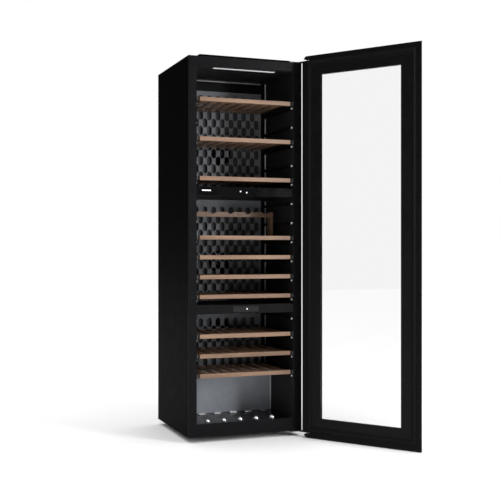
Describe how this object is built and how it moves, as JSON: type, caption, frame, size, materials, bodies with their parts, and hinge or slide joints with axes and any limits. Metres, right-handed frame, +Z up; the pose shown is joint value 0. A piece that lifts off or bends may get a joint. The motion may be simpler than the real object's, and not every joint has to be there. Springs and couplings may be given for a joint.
{
  "type": "wine cooler",
  "caption": "Tall built-in column wine cooler with a hinged glass door, sliding wooden shelves in three zones and a forced-air cooling system.",
  "frame": {"origin": "on the floor, at the middle of the front left foot's sole, seen from the front; the cabinet's middle is at x 0.215, y 0.115", "axes": "+Z up, +Y towards the back, +X to the right seen from the front; the door stands open at rest"},
  "size_m": [0.9029, 1.0525, 1.7645],
  "materials": {
    "skin": "satin",
    "liner": "matte",
    "foam": "matte",
    "trim": "gloss",
    "lamp": "frosted",
    "steel": "brushed",
    "chrome": "polished",
    "perforated": "satin",
    "fins": "satin",
    "rubber": "matte",
    "wood": "satin",
    "runner": "satin",
    "door_frame": "satin",
    "glass": "clear",
    "spacer": "matte",
    "fan": "matte",
    "compressor": "semi-gloss"
  },
  "bodies": {
    "cabinet": {"side_panels": "skin", "top_panel": "skin", "rear_panel": "skin", "base_pan": "steel", "machine_cover": "skin", "cable_gland": "rubber", "front_frame": "skin", "inner_liner": "liner", "foam_insulation": "foam", "levelling_feet": "rubber", "zone_dividers": "liner", "control_panels": "trim", "control_lights": "lamp", "ceiling_light_housing": "liner", "ceiling_light_lens": "lamp", "air_panels": "perforated", "duct_plates": "perforated", "corner_trims": "steel", "compressor_cover": "perforated", "wall_rails": "liner", "rail_studs": "chrome", "bottle_tray": "trim", "bottle_rests": "chrome", "evaporators": "fins", "condenser": "fins", "fan_housings": "fan", "compressor": "compressor", "control_box": "trim", "hinge_brackets": "steel"},
    "door": {"door_frame": "door_frame", "outer_glass": "glass", "inner_glass": "glass", "glazing_spacer": "spacer", "door_gasket": "rubber", "hinge_bushes": "trim"},
    "shelf_01": {"shelf_01_wood": "wood", "shelf_01_runners": "runner"},
    "shelf_02": {"shelf_02_wood": "wood", "shelf_02_runners": "runner"},
    "shelf_03": {"shelf_03_wood": "wood", "shelf_03_runners": "runner"},
    "shelf_04": {"shelf_04_wood": "wood", "shelf_04_runners": "runner", "display_stand": "wood"},
    "shelf_05": {"shelf_05_wood": "wood", "shelf_05_runners": "runner"},
    "shelf_06": {"shelf_06_wood": "wood", "shelf_06_runners": "runner"},
    "shelf_07": {"shelf_07_wood": "wood", "shelf_07_runners": "runner"},
    "shelf_08": {"shelf_08_wood": "wood", "shelf_08_runners": "runner"},
    "shelf_09": {"shelf_09_wood": "wood", "shelf_09_runners": "runner"},
    "shelf_10": {"shelf_10_wood": "wood", "shelf_10_runners": "runner"},
    "evaporator_fan_lower": {"evaporator_fan_lower": "fan"},
    "evaporator_fan_middle": {"evaporator_fan_middle": "fan"},
    "evaporator_fan_upper": {"evaporator_fan_upper": "fan"},
    "condenser_fan": {"condenser_fan": "fan"}
  },
  "joints": [
    {"name": "door_hinge", "type": "hinge", "parent": "cabinet", "child": "door", "pos_m": [0.5046, -0.1799, 0.88], "axis": [0, 0, 1], "range_deg": [-125, 0]},
    {"name": "shelf_01_slide", "type": "slide", "parent": "cabinet", "child": "shelf_01", "axis": [0, -1, 0], "range_m": [0, 0.241]},
    {"name": "shelf_02_slide", "type": "slide", "parent": "cabinet", "child": "shelf_02", "axis": [0, -1, 0], "range_m": [0, 0.241]},
    {"name": "shelf_03_slide", "type": "slide", "parent": "cabinet", "child": "shelf_03", "axis": [0, -1, 0], "range_m": [0, 0.241]},
    {"name": "shelf_04_slide", "type": "slide", "parent": "cabinet", "child": "shelf_04", "axis": [0, -1, 0], "range_m": [0, 0.241]},
    {"name": "shelf_05_slide", "type": "slide", "parent": "cabinet", "child": "shelf_05", "axis": [0, -1, 0], "range_m": [0, 0.241]},
    {"name": "shelf_06_slide", "type": "slide", "parent": "cabinet", "child": "shelf_06", "axis": [0, -1, 0], "range_m": [0, 0.241]},
    {"name": "shelf_07_slide", "type": "slide", "parent": "cabinet", "child": "shelf_07", "axis": [0, -1, 0], "range_m": [0, 0.241]},
    {"name": "shelf_08_slide", "type": "slide", "parent": "cabinet", "child": "shelf_08", "axis": [0, -1, 0], "range_m": [0, 0.241]},
    {"name": "shelf_09_slide", "type": "slide", "parent": "cabinet", "child": "shelf_09", "axis": [0, -1, 0], "range_m": [0, 0.241]},
    {"name": "shelf_10_slide", "type": "slide", "parent": "cabinet", "child": "shelf_10", "axis": [0, -1, 0], "range_m": [0, 0.241]},
    {"name": "evaporator_fan_lower_spin", "type": "hinge", "parent": "cabinet", "child": "evaporator_fan_lower", "pos_m": [0.215, 0.2515, 0.477], "axis": [0, 1, 0], "continuous": true},
    {"name": "evaporator_fan_middle_spin", "type": "hinge", "parent": "cabinet", "child": "evaporator_fan_middle", "pos_m": [0.215, 0.2515, 0.809], "axis": [0, 1, 0], "continuous": true},
    {"name": "evaporator_fan_upper_spin", "type": "hinge", "parent": "cabinet", "child": "evaporator_fan_upper", "pos_m": [0.215, 0.2515, 1.346], "axis": [0, 1, 0], "continuous": true},
    {"name": "condenser_fan_spin", "type": "hinge", "parent": "cabinet", "child": "condenser_fan", "pos_m": [0.061, 0.27675, 0.0905], "axis": [1, 0, 0], "continuous": true}
  ]
}
